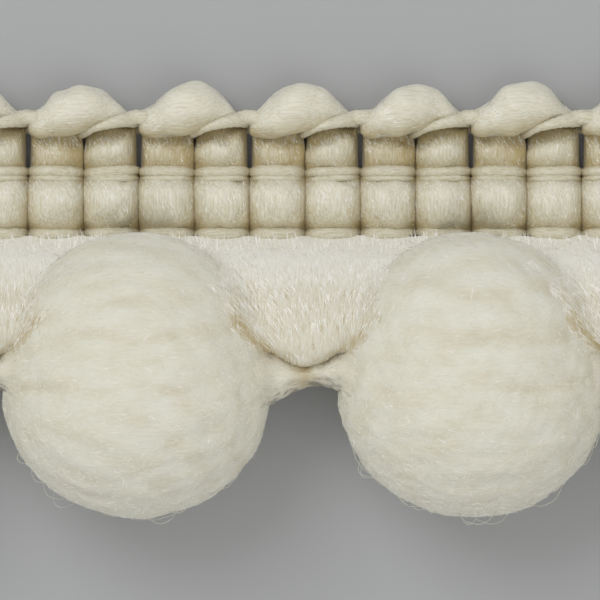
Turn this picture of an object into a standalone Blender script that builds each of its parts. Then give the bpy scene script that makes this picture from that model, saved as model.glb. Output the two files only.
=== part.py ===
"""Pompom fringe trim: a crochet-knit heading with a scalloped edge, and a row of cut-pile pompoms
tied on below it.

Blender 4.5. Metres, +Z up. The trim lies on its back on z = 0 with its face up. X runs along the
trim, +Y goes to the scalloped edge, and the origin is on the flat back of the heading, at the
middle of its length.
"""

import math
import random

import bmesh
import bpy
from mathutils import Euler, Vector

MM = 0.001

# Driving sizes of the trim, in millimetres until they are scaled by MM.
POMPOM_COUNT = 4
POMPOM_PITCH = 12.75
PAIRS_PER_PITCH = 3
PAIR = POMPOM_PITCH / PAIRS_PER_PITCH
COLUMN = PAIR / 2
PAIR_COUNT = POMPOM_COUNT * PAIRS_PER_PITCH + 1
HEADING_LENGTH = PAIR_COUNT * PAIR
HALF_LENGTH = HEADING_LENGTH / 2

# The yarns' colours, as linear red, green and blue, with their roughness.
YARNS = {
    "heading_yarn": ((0.62, 0.59, 0.46), 0.55),
    "pompom_pile": ((0.68, 0.65, 0.54), 0.90),
    "tuft_yarn": ((0.66, 0.62, 0.50), 0.70),
    "neck_yarn": ((0.63, 0.59, 0.46), 0.75),
}

# The heading's face from its lower edge up, one row for each ridge or groove across a column of
# yarn: height up the face, and how far it stands off the back at the seam and at the crown.
FACE_ROWS = (
    # y, z at the seam, z at the crown
    (-2.38, 0.40, 0.85),
    (-2.13, 0.75, 1.45),
    (-1.85, 0.50, 1.05),
    (-1.58, 0.60, 1.65),
    (-1.00, 0.70, 2.00),
    (-0.40, 0.65, 1.80),
    (-0.12, 0.50, 1.15),
    (0.22, 0.80, 1.50),
    (0.56, 0.50, 1.10),
)
UPPER_STITCH_FOOT = 0.85
BACK_LOW_EDGE = -2.30
BACK_TOP_EDGE = 2.00
COLUMN_SQUARENESS = 3

# The upper edge of one pair of columns. The yarn rises out of the left column, turns over in a
# fat roll and dives behind the right one, where a chain thread crosses its foot.
SCALLOP = (
    # along in columns, roll top, roll foot, roll mid z, roll half depth, thread y, thread z,
    # upper stitch top, upper stitch z
    (0.00, 2.66, 2.05, 0.80, 0.30, 1.90, 0.55, 1.62, 0.45),
    (0.12, 2.64, 1.72, 1.10, 0.55, 1.60, 0.80, 1.42, 1.00),
    (0.35, 2.92, 1.50, 1.35, 0.82, 1.42, 0.95, 1.28, 1.25),
    (0.65, 3.42, 1.46, 1.45, 0.95, 1.38, 0.95, 1.25, 1.25),
    (0.88, 3.62, 1.66, 1.45, 0.95, 1.50, 0.90, 1.32, 1.05),
    (1.00, 3.68, 1.88, 1.40, 0.90, 1.62, 0.75, 1.42, 0.55),
    (1.12, 3.66, 2.05, 1.35, 0.84, 1.76, 1.20, 1.52, 1.25),
    (1.35, 3.46, 2.32, 1.20, 0.66, 1.93, 1.45, 1.68, 1.50),
    (1.65, 3.10, 2.48, 1.00, 0.48, 2.08, 1.45, 1.78, 1.45),
    (1.88, 2.80, 2.42, 0.88, 0.34, 2.12, 1.05, 1.78, 1.05),
)
ROLL_ANGLES = (-75, -38, 0, 38, 75, 112, 148)
SCALLOP_UNEVENNESS = 0.10
SCALLOP_SEED = 4
STITCH_SHOULDER = 0.12
THREAD_GROOVE_SHIFT = 0.05
THREAD_GROOVE_DEPTH = 0.35
HEADING_SMOOTH_ANGLE = 50

# A pompom: half sizes of its trimmed pile, and of the packed core that the locks root in.
POMPOM_Y = -8.13
POMPOM_Z = 4.20
POMPOM_HALF_WIDTH = 5.06
POMPOM_REACH_UP = 6.10
POMPOM_REACH_DOWN = 4.70
POMPOM_HALF_DEPTH = 4.80
CORE_SUBDIVISIONS = 3
LOCK_LENGTH = 0.32
LOCKS_PER_POMPOM = 74
LOCK_FOOT_INSET = 0.06
LOCK_LEAN = 0.30
LUMP_HEIGHT = 0.06
LUMP_WAVES_ALONG = 4.1
LUMP_WAVES_DEEP = 5.3
LOWEST_LOCK = 1.0
TIED_SIDE = 0.93

# A yarn tuft between two pompoms, from the heading down to its tip in front of the tie.
TUFT_ROWS = (
    # y, half width, z low, z high
    (-2.72, 3.00, 0.30, 1.70),
    (-3.15, 3.00, 0.55, 2.80),
    (-3.90, 2.36, 1.20, 3.85),
    (-4.70, 1.82, 1.90, 4.60),
    (-5.50, 1.42, 2.55, 5.05),
    (-6.15, 1.05, 3.15, 5.25),
    (-6.65, 0.62, 3.65, 5.15),
    (-6.92, 0.25, 4.10, 4.90),
)
TUFT_SIDES = 14
END_TUFT_WIDTH = 2.05
TUFT_SMOOTH_ANGLE = 60

# The drawn-in neck of the pile strand between two pompoms, from left to right.
NECK_Z = 4.10
NECK_ROWS = (
    # x, y, half height, half depth
    (-1.25, -7.66, 0.92, 1.00),
    (-0.80, -7.66, 0.74, 0.82),
    (-0.40, -7.68, 0.50, 0.60),
    (0.00, -7.70, 0.38, 0.46),
    (0.40, -7.66, 0.46, 0.54),
    (0.80, -7.62, 0.62, 0.70),
    (1.25, -7.60, 0.76, 0.84),
)
NECK_SIDES = 10
STUB_ROWS = (
    # further out than the neck's middle, y, half height, half depth
    (0.55, -7.64, 0.50, 0.60),
    (1.25, -7.60, 0.78, 0.88),
    (1.85, -7.60, 0.86, 0.95),
)


def clear_scene():
    for existing in list(bpy.data.objects):
        bpy.data.objects.remove(existing, do_unlink=True)


def yarn_material(name):
    colour, roughness = YARNS[name]
    material = bpy.data.materials.new(name)
    material.use_nodes = True
    shader = material.node_tree.nodes["Principled BSDF"]
    shader.inputs["Base Color"].default_value = (*colour, 1.0)
    shader.inputs["Roughness"].default_value = roughness
    shader.inputs["Metallic"].default_value = 0.0
    return material


def add_object(name, mesh_builder, material, smooth_below=None):
    """A new object from a bmesh in millimetres, scaled to metres."""
    bmesh.ops.recalc_face_normals(mesh_builder, faces=mesh_builder.faces)
    bmesh.ops.scale(mesh_builder, vec=(MM, MM, MM), verts=mesh_builder.verts)
    mesh = bpy.data.meshes.new(name)
    mesh_builder.to_mesh(mesh)
    mesh_builder.free()
    mesh.materials.append(material)
    if smooth_below is not None:
        mesh.shade_smooth()
        mesh.set_sharp_from_angle(angle=math.radians(smooth_below))
    made = bpy.data.objects.new(name, mesh)
    bpy.context.scene.collection.objects.link(made)
    return made


def loft(rings):
    """A closed solid through rings of equal point counts, with a flat cap at each end."""
    builder = bmesh.new()
    loops = [[builder.verts.new(point) for point in ring] for ring in rings]
    for lower, upper in zip(loops, loops[1:]):
        for i in range(len(lower)):
            j = (i + 1) % len(lower)
            builder.faces.new((lower[i], lower[j], upper[j], upper[i]))
    builder.faces.new(loops[0])
    builder.faces.new(loops[-1])
    return builder


def crown_share(along):
    """How much of a column's full swell shows at a place across it: 0 at a seam, 1 in the middle."""
    across = 2 * (along % 1.0) - 1
    return math.sqrt(max(0.0, 1 - abs(across) ** COLUMN_SQUARENESS))


def scallop_section(row, lift):
    """The upper edge's points at one station, from the foot of the upper stitch over to the back."""
    _, top, foot, mid_z, half_depth, thread_y, thread_z, stitch_top, stitch_z = row
    top += lift
    mid_y = (top + foot) / 2
    half_height = (top - foot) / 2
    stitch_foot_z = max((stitch_z + FACE_ROWS[-1][1]) / 2, stitch_z - STITCH_SHOULDER)
    points = [
        (UPPER_STITCH_FOOT, stitch_foot_z),
        (stitch_top - STITCH_SHOULDER, stitch_z),
        (stitch_top + THREAD_GROOVE_SHIFT, min(stitch_z, thread_z) - THREAD_GROOVE_DEPTH),
        (thread_y, thread_z),
    ]
    for degrees in ROLL_ANGLES:
        turn = math.radians(degrees)
        points.append((mid_y + half_height * math.sin(turn), mid_z + half_depth * math.cos(turn)))
    return points


def heading_section(x, along, row, lift):
    """One closed section of the heading, square to its length."""
    share = crown_share(along)
    face = [(y, seam + (crown - seam) * share) for y, seam, crown in FACE_ROWS]
    outline = [(BACK_LOW_EDGE, 0.0), *face, *scallop_section(row, lift), (BACK_TOP_EDGE, 0.0)]
    return [(x, y, z) for y, z in outline]


def heading_mesh():
    """The knit heading: columns of soft yarn, pinched by chain threads, one roll to each pair."""
    rng = random.Random(SCALLOP_SEED)
    rings = []
    for pair in range(PAIR_COUNT):
        lift = rng.uniform(-SCALLOP_UNEVENNESS, SCALLOP_UNEVENNESS)
        start = pair * PAIR - HALF_LENGTH
        for row in SCALLOP:
            share = math.sin(math.pi * row[0] / 2)
            rings.append(heading_section(start + row[0] * COLUMN, row[0], row, lift * share))
    rings.append(heading_section(HALF_LENGTH, 0.0, SCALLOP[0], 0.0))
    return loft(rings)


def pompom_reach(direction, inset):
    """The pile's radius in millimetres along a unit direction from the pompom's middle."""
    half_width = POMPOM_HALF_WIDTH - inset
    half_depth = POMPOM_HALF_DEPTH - inset
    half_height = (POMPOM_REACH_UP if direction.y > 0 else POMPOM_REACH_DOWN) - inset
    stretched = Vector((direction.x / half_width, direction.y / half_height, direction.z / half_depth))
    return 1 / stretched.length


def spiral_directions(count):
    """Unit directions spread evenly over a ball."""
    golden = math.pi * (3 - math.sqrt(5))
    found = []
    for i in range(count):
        z = 1 - 2 * (i + 0.5) / count
        ring = math.sqrt(1 - z * z)
        found.append(Vector((ring * math.cos(golden * i), ring * math.sin(golden * i), z)))
    return found


def can_grow_lock(face, middle):
    """No lock grows at the floor, nor where the strand runs on into a neck."""
    centre = face.calc_center_median()
    return centre.z > LOWEST_LOCK and abs((centre - middle).normalized().x) < TIED_SIDE


def pick_lock_faces(builder, middle):
    """Faces that each grow one lock, spread over the ball, none sharing an edge."""
    free = [face for face in builder.faces if can_grow_lock(face, middle)]
    picked = []
    taken = set()
    for direction in spiral_directions(2 * LOCKS_PER_POMPOM):
        best = max(free, key=lambda face: (face.calc_center_median() - middle).normalized().dot(direction))
        edges = {edge.index for edge in best.edges}
        if len(picked) < LOCKS_PER_POMPOM and not edges & taken:
            picked.append(best)
            taken |= edges
    return picked


def pompom_mesh(middle, seed):
    """A packed, slightly lumpy ball with short three-sided locks of cut yarn all round it."""
    rng = random.Random(seed)
    builder = bmesh.new()
    bmesh.ops.create_icosphere(builder, subdivisions=CORE_SUBDIVISIONS, radius=1.0)
    turn = Euler([rng.uniform(0, math.tau) for _ in range(3)]).to_matrix()
    for vert in builder.verts:
        direction = (turn @ vert.co).normalized()
        wave_along = math.sin(LUMP_WAVES_ALONG * direction.x + seed)
        wave_deep = math.sin(LUMP_WAVES_DEEP * direction.z + 2 * seed)
        reach = pompom_reach(direction, LOCK_LENGTH + LUMP_HEIGHT) + LUMP_HEIGHT * wave_along * wave_deep
        vert.co = middle + direction * reach
    everything = [*builder.verts, *builder.edges, *builder.faces]
    cut = bmesh.ops.bisect_plane(
        builder, geom=everything, plane_co=(0, 0, 0), plane_no=(0, 0, 1), clear_inner=True
    )
    rim = [item for item in cut["geom_cut"] if isinstance(item, bmesh.types.BMEdge)]
    bmesh.ops.contextual_create(builder, geom=rim)
    bmesh.ops.recalc_face_normals(builder, faces=builder.faces)
    builder.edges.index_update()
    faces = [face for face in pick_lock_faces(builder, middle) if len(face.verts) == 3]
    bmesh.ops.inset_individual(builder, faces=faces, thickness=LOCK_FOOT_INSET)
    tips = bmesh.ops.poke(builder, faces=faces, offset=LOCK_LENGTH)["verts"]
    for tip in tips:
        tip.co += LOCK_LEAN * Vector([rng.uniform(-1, 1) for _ in range(3)]).cross(tip.normal)
    return builder


def tuft_mesh(centre_x, side):
    """The soft yarn that comes down from the heading and narrows to a rounded tip at the tie."""
    rings = []
    for y, half_width, low, high in TUFT_ROWS:
        mid_z = (low + high) / 2
        half_depth = (high - low) / 2
        ring = []
        for i in range(TUFT_SIDES):
            turn = math.tau * i / TUFT_SIDES
            across = half_width * math.cos(turn)
            if across * side > 0:
                across = math.copysign(min(abs(across), END_TUFT_WIDTH * abs(math.cos(turn))), across)
            ring.append((centre_x + across, y, mid_z + half_depth * math.sin(turn)))
        rings.append(ring)
    return loft(rings)


def neck_mesh(centre_x, side):
    """The drawn-in pile strand at a tie. At an end of the trim its outer half is a cut, flared stub."""
    rows = list(NECK_ROWS)
    if side < 0:
        outer = [(-x, y, height, depth) for x, y, height, depth in reversed(STUB_ROWS)]
        rows = outer + [row for row in NECK_ROWS if row[0] >= 0]
    if side > 0:
        rows = [row for row in NECK_ROWS if row[0] <= 0] + list(STUB_ROWS)
    rings = []
    for x, y, half_height, half_depth in rows:
        ring = []
        for i in range(NECK_SIDES):
            turn = math.tau * i / NECK_SIDES
            ring.append((centre_x + x, y + half_height * math.cos(turn), NECK_Z + half_depth * math.sin(turn)))
        rings.append(ring)
    return loft(rings)


def main():
    clear_scene()
    yarns = {name: yarn_material(name) for name in YARNS}

    add_object("heading", heading_mesh(), yarns["heading_yarn"], HEADING_SMOOTH_ANGLE)
    for number in range(1, POMPOM_COUNT + 1):
        centre_x = (number - (POMPOM_COUNT + 1) / 2) * POMPOM_PITCH
        middle = Vector((centre_x, POMPOM_Y, POMPOM_Z))
        add_object(f"pompom_{number}", pompom_mesh(middle, seed=number), yarns["pompom_pile"])
    for number in range(1, POMPOM_COUNT + 2):
        centre_x = (number - (POMPOM_COUNT + 2) / 2) * POMPOM_PITCH
        side = {1: -1, POMPOM_COUNT + 1: 1}.get(number, 0)
        add_object(f"tuft_{number}", tuft_mesh(centre_x, side), yarns["tuft_yarn"], TUFT_SMOOTH_ANGLE)
        add_object(f"neck_{number}", neck_mesh(centre_x, side), yarns["neck_yarn"], TUFT_SMOOTH_ANGLE)


main()
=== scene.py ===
import math

import bmesh
import bpy
import numpy as np
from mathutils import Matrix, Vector


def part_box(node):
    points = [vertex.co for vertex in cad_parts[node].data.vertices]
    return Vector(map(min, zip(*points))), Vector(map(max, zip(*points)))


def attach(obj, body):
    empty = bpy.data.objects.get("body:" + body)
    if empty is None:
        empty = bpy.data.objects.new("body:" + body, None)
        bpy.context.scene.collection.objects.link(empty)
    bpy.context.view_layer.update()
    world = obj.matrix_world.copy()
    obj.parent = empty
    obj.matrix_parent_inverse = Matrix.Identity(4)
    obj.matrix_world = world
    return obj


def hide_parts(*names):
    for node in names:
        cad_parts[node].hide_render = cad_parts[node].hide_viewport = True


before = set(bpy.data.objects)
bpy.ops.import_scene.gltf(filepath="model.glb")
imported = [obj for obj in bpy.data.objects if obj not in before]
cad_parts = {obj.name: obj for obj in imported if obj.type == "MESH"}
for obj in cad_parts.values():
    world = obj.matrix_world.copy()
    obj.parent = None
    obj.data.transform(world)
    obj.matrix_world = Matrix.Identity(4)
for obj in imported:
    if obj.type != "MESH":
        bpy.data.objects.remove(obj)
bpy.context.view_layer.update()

# Weft stitches of the heading. Soft, hardly twisted filament yarn is laid up and down by a crochet
# knitting machine into 26 columns. Three rows of chain thread bind it, so that each column swells
# in one long stitch and one short stitch on the face and lies flat at the back.
MM = 0.001
COLUMNS = 26
STITCH_STATIONS = 27
STITCH_OUTLINE = 66
COLUMN_SQUARENESS = 2.4
SEAM_SOFTNESS = 0.65
# Painted shade towards the seams between columns.
SEAM_SHADE = 0.65
SEAM_CROWDING = 0.42
SLOT_INSET = 0.18
COLUMN_PUFF = 0.04
COLUMN_LEAN = 0.04
COLUMN_RISE = 0.03
RIGHT_SLOPE = 0.24
# Painted shade in the left columns' recessed upper stitch, more towards its right side.
RECESS_SHADE = 0.9
RECESS_SIDE_SHADE = 0.7
FILAMENT_BUNDLE = 0.15
FILAMENT_RELIEF = 0.040
FILAMENT_SLANT = 0.26
STITCH_PUFF = 0.045
# Each stitch's middle height and how round its corners are.
LOWER_STITCH = (-0.95, 0.16)
UPPER_STITCH = (1.15, 0.22)
LOOSE_SLANT = 0.38
LOOSE_LENGTH = (0.18, 0.40)
LOOSE_WIDTH = 0.050
LOOSE_SOFTNESS = 0.75
FIBRE_SUNK = 0.02
FIBRE_CORNER = 0.58
LOOSE_PER_STITCH = 560
# Loose filament ends, drawn 0.05 mm wide so that they show: their share at heights up the face,
# most on top of each swell.
LOOSE_DENSITY = ((-1.8, -1.3, -0.8, -0.15, 0.0, 0.6, 1.0, 1.6),
                 (0.15, 0.5, 0.9, 1.0, 0.1, 0.3, 0.8, 0.6))
STITCH_PROFILE = (
    # y, z at the crown, z at the seam, half width in columns, share of the slot, left column's
    #     step back, painted shade
    (-2.26, 0.06, 0.40, 0.49, 0.0, 0.00, 0.2),
    (-2.40, 0.45, 0.50, 0.50, 0.0, 0.00, 0.4),
    (-2.38, 0.88, 0.66, 0.51, 0.0, 0.00, 0.7),
    (-2.13, 0.98, 0.58, 0.51, 0.0, 0.00, 0.9),
    (-1.84, 1.24, 0.66, 0.51, 0.0, 0.00, 0.8),
    (-1.74, 1.46, 0.84, 0.51, 0.0, 0.00, 0.6),
    (-1.48, 1.78, 1.12, 0.51, 0.0, 0.00, 0.26),
    (-1.05, 1.97, 1.28, 0.51, 0.0, 0.00, 0.18),
    (-0.60, 1.95, 1.30, 0.51, 0.0, 0.00, 0.03),
    (-0.26, 1.78, 1.12, 0.51, 0.0, 0.00, -0.04),
    (-0.05, 1.44, 0.74, 0.51, 0.0, 0.00, 0.1),
    (0.04, 1.18, 0.62, 0.51, 0.1, 0.00, 0.6),
    (0.46, 1.06, 0.58, 0.50, 0.4, 0.00, 0.8),
    (0.58, 1.25, 0.70, 0.50, 0.8, 0.20, 0.6),
    (0.80, 1.56, 0.86, 0.50, 1.0, 0.34, 0.35),
    (1.10, 1.68, 0.90, 0.50, 1.0, 0.42, 0.2),
    (1.32, 1.60, 0.88, 0.50, 1.0, 0.46, 0.2),
    (1.48, 1.38, 0.80, 0.49, 0.8, 0.40, 0.45),
    (1.62, 1.16, 0.72, 0.48, 0.5, 0.20, 0.75),
    (2.05, 0.98, 0.62, 0.47, 0.2, 0.00, 0.9),
    (2.30, 0.60, 0.45, 0.45, 0.2, 0.00, 0.6),
    (2.28, 0.30, 0.36, 0.46, 0.2, 0.00, 0.5),
    (2.05, 0.05, 0.32, 0.48, 0.3, 0.00, 0.2),
    (1.20, 0.02, 0.30, 0.48, 1.0, 0.00, 0.1),
    (0.48, 0.05, 0.32, 0.47, 0.5, 0.00, 0.4),
    (0.30, 0.26, 0.36, 0.46, 0.2, 0.00, 0.8),
    (0.10, 0.05, 0.32, 0.48, 0.0, 0.00, 0.4),
    (-0.90, 0.01, 0.30, 0.50, 0.0, 0.00, 0.1),
    (-1.85, 0.05, 0.32, 0.49, 0.0, 0.00, 0.4),
    (-2.05, 0.26, 0.36, 0.47, 0.0, 0.00, 0.8),
)
# The sRGB colours of the yarn: painted light where filaments catch the light, its own colour in
# the open, and painted shade where it lies deep between its neighbours.
YARN_PAINTED_LIGHT = "#FEFDF8"
YARN_CREAM = "#E8E5D4"
YARN_PAINTED_SHADE = "#BBAA7C"
ACRYLIC_IOR = 1.49

heading_low, heading_high = (np.array(corner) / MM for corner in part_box("heading"))
column_width = (heading_high[0] - heading_low[0]) / COLUMNS


def linear(colour):
    """A linear RGBA colour from sRGB hex."""
    shares = [int(colour[i:i + 2], 16) / 255 for i in (1, 3, 5)]
    return [s / 12.92 if s <= 0.04045 else ((s + 0.055) / 1.055) ** 2.4 for s in shares] + [1.0]


def add_node(tree, kind, settings=None, **links):
    """A new node with its settings, and its inputs linked to other nodes' outputs or set."""
    node = tree.nodes.new(kind)
    for name, value in (settings or {}).items():
        if name in node.inputs:
            node.inputs[name].default_value = value
        else:
            setattr(node, name, value)
    for name, source in links.items():
        tree.links.new(source, node.inputs[name.replace("_", " ")])
    return node


def soft_noise(places, size, seed):
    """Smooth unevenness between about -1 and 1, with swells about one size apart."""
    rng = np.random.default_rng(seed)
    waves = 8
    total = np.zeros(places.shape[:-1])
    for _ in range(waves):
        heading = rng.normal(size=places.shape[-1])
        heading *= math.tau / size / np.linalg.norm(heading) * rng.uniform(0.6, 1.5)
        total += np.sin(places @ heading + rng.uniform(0, math.tau))
    return total / math.sqrt(waves)


def unit(vectors):
    return vectors / np.maximum(np.linalg.norm(vectors, axis=-1, keepdims=True), 1e-9)


def smooth_rows(rows, count, closed):
    """Rounds the corners of a table's outline and spaces count rows evenly along it."""
    rows = np.array(rows, float)
    for _ in range(2):
        following = np.roll(rows, -1, axis=0) if closed else rows[1:]
        start = rows if closed else rows[:-1]
        cut = np.stack([0.75 * start + 0.25 * following, 0.25 * start + 0.75 * following], axis=1)
        cut = cut.reshape(-1, rows.shape[1])
        rows = cut if closed else np.concatenate([rows[:1], cut, rows[-1:]])
    if closed:
        rows = np.concatenate([rows, rows[:1]])
    steps = np.linalg.norm(np.diff(rows[:, :2], axis=0), axis=1)
    run = np.concatenate([[0], np.cumsum(steps)])
    at = np.linspace(0, run[-1], count, endpoint=not closed)
    return np.stack([np.interp(at, run, column) for column in rows.T], axis=1)


def closed_body(rings):
    """Points and faces of a body through rings of equal point counts, closed at both ends."""
    count, sides, _ = rings.shape
    points = np.concatenate([rings.reshape(-1, 3), rings[[0, -1]].mean(axis=1)])
    ring, side = np.meshgrid(np.arange(count - 1), np.arange(sides), indexing="ij")
    after = (side + 1) % sides
    quads = np.stack([ring * sides + side, ring * sides + after,
                      (ring + 1) * sides + after, (ring + 1) * sides + side], axis=-1).reshape(-1, 4)
    i = np.arange(sides)
    j = (i + 1) % sides
    first, last = count * sides, count * sides + 1
    top = (count - 1) * sides
    ends = np.concatenate([np.stack([np.full(sides, first), j, i], axis=1),
                           np.stack([np.full(sides, last), top + i, top + j], axis=1)])
    return points, quads.tolist() + ends.tolist()


def between(grid, row, column):
    """A grid's values at fractional rows and columns. Past its last column comes its first."""
    row = np.clip(row, 0, len(grid) - 1.001)
    first, left = np.floor(row).astype(int), np.floor(column).astype(int)
    down, across = (row - first)[:, None], (column - left)[:, None]
    left, right = left % grid.shape[1], (left + 1) % grid.shape[1]
    upper = (1 - across) * grid[first, left] + across * grid[first, right]
    lower = (1 - across) * grid[first + 1, left] + across * grid[first + 1, right]
    return (1 - down) * upper + down * lower


def grid_normals(grid):
    """Unit normals that point out of a closed body through rings of points."""
    along = np.gradient(grid, axis=0)
    around = np.roll(grid, -1, axis=1) - np.roll(grid, 1, axis=1)
    normals = unit(np.cross(around, along))
    outwards = np.sum(normals * (grid - grid.mean(axis=1, keepdims=True)))
    return normals if outwards > 0 else -normals


def lying(grid, outward, shade, row, column, down, across, lift):
    """Roots, tips, normals and shade of fibres that lie on a grid's surface, so many mm down its
    rows and across its columns. Their tips lift off it."""
    start = between(grid, row, column)
    row_step = np.linalg.norm(between(grid, row + 1, column) - start, axis=1)
    column_step = np.linalg.norm(between(grid, row, column + 1) - start, axis=1)
    end_row = row + np.clip(down / np.maximum(row_step, 0.02), -6, 6)
    end_column = column + np.clip(across / np.maximum(column_step, 0.02), -6, 6)
    normal = between(outward, row, column)
    tip = between(grid, end_row, end_column) + lift[:, None] * between(outward, end_row, end_column)
    return start - FIBRE_SUNK * normal, tip, normal, between(shade[..., None], row, column)[:, 0]


def slivers(blunt, sharp, width, outward, softness, shade, seed):
    """Closed three-sided fibres, each from its blunt end to its sharp end, with a flat side on top.
    The softer, the more they are lit like the surface under them, as light goes through them."""
    rng = np.random.default_rng(seed)
    ahead = unit(sharp - blunt)
    aside = unit(np.cross(outward, ahead) + 0.12 * rng.normal(size=ahead.shape))
    above = np.cross(ahead, aside)
    reach = width * FIBRE_CORNER
    corners = [blunt + reach * (math.cos(a) * aside + math.sin(a) * above)
               for a in (math.tau / 12, 5 * math.tau / 12, 9 * math.tau / 12)]
    points = np.stack([*corners, sharp], axis=1).reshape(-1, 3)
    first = 4 * np.arange(len(blunt))[:, None, None]
    faces = (first + np.array([[0, 2, 1], [0, 1, 3], [1, 2, 3], [2, 0, 3]])).reshape(-1, 3)
    own = np.stack([*(unit(corner - blunt) for corner in corners), ahead], axis=1)
    normals = unit(own * (1 - softness) + outward[:, None] * softness).reshape(-1, 3)
    return points, faces.tolist(), np.repeat(shade, 4), normals


def add_piece(name, bodies, fibres, material, slot, *nodes):
    """A smooth piece that stands for the given nodes, and its loose fibres as a second piece. Each
    is joined from parts of points in millimetres, faces, shade and, where the light shall not fall
    on them as their own shape says, normals. Light goes through and round such thin fibres, so
    they cast no shadow on the body they lie on."""
    for ending, parts in (("", bodies), ("_fibres", fibres)):
        faces, count = [], 0
        for part in parts:
            faces += [[index + count for index in face] for face in part[1]]
            count += len(part[0])
        mesh = bpy.data.meshes.new(name + ending)
        mesh.from_pydata(np.concatenate([part[0] for part in parts]) * MM, [], faces)
        shade = np.concatenate([np.broadcast_to(part[2], len(part[0])) for part in parts])
        mesh.attributes.new("shade", "FLOAT", "POINT").data.foreach_set("value", shade.astype(np.float32))
        mesh.materials.append(material)
        mesh.shade_smooth()
        if len(parts[0]) > 3:
            mesh.normals_split_custom_set_from_vertices(np.concatenate([part[3] for part in parts]))
        piece = bpy.data.objects.new(name + ending, mesh)
        bpy.context.scene.collection.objects.link(piece)
        if parts is fibres:
            piece.visible_shadow = False
            piece.visible_diffuse = False
        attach(piece, "root")
        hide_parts(*nodes)


def yarn_material(name, colours, grain, streak_shade, relief, roughness, sheen, ior):
    """Filament yarn. Shade, from -1 to 1, paints light where filaments catch it and paints shade
    where the yarn lies hidden. Its streaks have the grain's sizes, in millimetres along x, y and z."""
    material = bpy.data.materials.new(name)
    material.use_nodes = True
    tree = material.node_tree
    shader = tree.nodes["Principled BSDF"]
    shade = add_node(tree, "ShaderNodeAttribute", {"attribute_name": "shade"})
    place = add_node(tree, "ShaderNodeTexCoord")
    scale = [1 / (size * MM) for size in grain]
    stretch = add_node(tree, "ShaderNodeMapping", {"Scale": scale}, Vector=place.outputs["Object"])
    streaks = add_node(tree, "ShaderNodeTexNoise", {"Scale": 1.0, "Detail": 2.0},
                       Vector=stretch.outputs["Vector"])
    swing = {"From Min": 0.3, "From Max": 0.7, "To Min": -streak_shade, "To Max": streak_shade}
    uneven = add_node(tree, "ShaderNodeMapRange", swing, Value=streaks.outputs["Fac"])
    mixed = add_node(tree, "ShaderNodeMath", {"operation": "ADD"})
    tree.links.new(shade.outputs["Fac"], mixed.inputs[0])
    tree.links.new(uneven.outputs["Result"], mixed.inputs[1])
    share = add_node(tree, "ShaderNodeMapRange", {"From Min": -1.0, "From Max": 1.0},
                     Value=mixed.outputs["Value"])
    # The ramp runs from painted light through the yarn's own colour to painted shade.
    colour = add_node(tree, "ShaderNodeValToRGB", Fac=share.outputs["Result"])
    colour.color_ramp.elements.new(0.5)
    for element, shown in zip(colour.color_ramp.elements, colours):
        element.color = linear(shown)
    bump = add_node(tree, "ShaderNodeBump", {"Strength": 1.0, "Distance": relief * MM},
                    Height=streaks.outputs["Fac"])
    tree.links.new(colour.outputs["Color"], shader.inputs["Base Color"])
    tree.links.new(bump.outputs["Normal"], shader.inputs["Normal"])
    for socket, value in (("Roughness", roughness), ("Sheen Weight", sheen), ("Sheen Roughness", 0.5),
                          ("IOR", ior)):
        shader.inputs[socket].default_value = value
    return material


# Brushed acrylic filament: the fine streaks give it the satin look of parallel filaments. A real
# one is 0.02 mm thick; the streaks stand for small bundles of them, 0.07 mm wide, which still show.
weft_acrylic = yarn_material("weft_acrylic_filament", (YARN_PAINTED_LIGHT, YARN_CREAM, YARN_PAINTED_SHADE),
                             (0.07, 0.9, 0.07), 0.27, 0.03, 0.42, 0.2, ACRYLIC_IOR)


def filament_relief(across, seed):
    """Height of the filament bundles side by side, at places across the yarn."""
    rng = np.random.default_rng(seed)
    knots = np.arange(-90, 90) * FILAMENT_BUNDLE
    return FILAMENT_RELIEF * np.interp(across, knots, rng.uniform(0, 1, len(knots)))


profile = smooth_rows(STITCH_PROFILE, STITCH_OUTLINE, closed=True)
p_y, p_crown, p_seam, p_half, p_slot, p_back, p_shade = profile.T
outward_y = np.roll(p_crown, -1) - np.roll(p_crown, 1)
outward_z = -(np.roll(p_y, -1) - np.roll(p_y, 1))
flip = -1 if outward_z[np.argmax(p_crown)] < 0 else 1
outward = flip * unit(np.stack([np.zeros(STITCH_OUTLINE), outward_y, outward_z], axis=1))
spread = np.linspace(-1, 1, STITCH_STATIONS)
spread = spread * (1 + SEAM_CROWDING - SEAM_CROWDING * spread**2)
crown = np.maximum(0, 1 - np.abs(spread) ** COLUMN_SQUARENESS) ** SEAM_SOFTNESS
loose_rows = np.flatnonzero((p_crown > 1.15) & (p_y > -1.8) & (p_y < 1.6))
loose_rows = loose_rows[p_crown[loose_rows] > p_seam[loose_rows]]

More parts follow.
